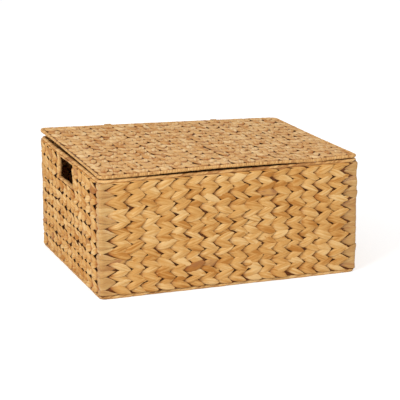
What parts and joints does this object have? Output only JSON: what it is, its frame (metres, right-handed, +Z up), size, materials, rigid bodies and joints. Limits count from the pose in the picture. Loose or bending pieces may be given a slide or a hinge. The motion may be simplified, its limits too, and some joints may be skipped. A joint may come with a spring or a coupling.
{
  "type": "woven lidded box",
  "caption": "Rectangular storage box of plant strands twined on a wire frame, with bound edges, a flat tied-on lid and a hand hole high in each end.",
  "frame": {"origin": "on the floor, under the middle of the box", "axes": "+X to the right along the long front wall, +Y from the front to the hinged back, +Z up"},
  "size_m": [0.45, 0.35, 0.2033],
  "materials": {
    "strand": "dried flattened plant stem, twined, matt with a slight sheen",
    "lid_strand": "dried flattened plant stem, twined, a little greyer than the walls",
    "corner_strand": "pale smooth stem folded round the corner",
    "binding": "thin strip of stem wound tightly round the edge wire",
    "tie": "flat strips of stem, lashed side by side",
    "wire": "dark lacquered steel wire, hidden in the weave"
  },
  "bodies": {
    "box": {"box_wire_frame": "wire", "front_wall": "strand", "back_wall": "strand", "left_wall": "strand", "right_wall": "strand", "corner_wrap_front_left": "corner_strand", "corner_wrap_front_right": "corner_strand", "corner_wrap_back_left": "corner_strand", "corner_wrap_back_right": "corner_strand", "base_panel": "strand", "rim_binding_front": "binding", "rim_binding_back": "binding", "rim_binding_left": "binding", "rim_binding_right": "binding", "base_binding_front": "binding", "base_binding_back": "binding", "base_binding_left": "binding", "base_binding_right": "binding", "handle_sill_left": "binding", "handle_sill_right": "binding", "handle_lintel_left": "binding", "handle_lintel_right": "binding", "hinge_tie_left": "tie", "hinge_tie_right": "tie"},
    "lid": {"lid_wire_frame": "wire", "lid_panel": "lid_strand", "lid_binding_front": "binding", "lid_binding_back": "binding", "lid_binding_left": "binding", "lid_binding_right": "binding"}
  },
  "joints": [
    {"name": "lid_hinge", "type": "hinge", "parent": "box", "child": "lid", "pos_m": [0, 0.1705, 0.1988], "axis": [-1, 0, 0], "range_deg": [0, 105]}
  ]
}
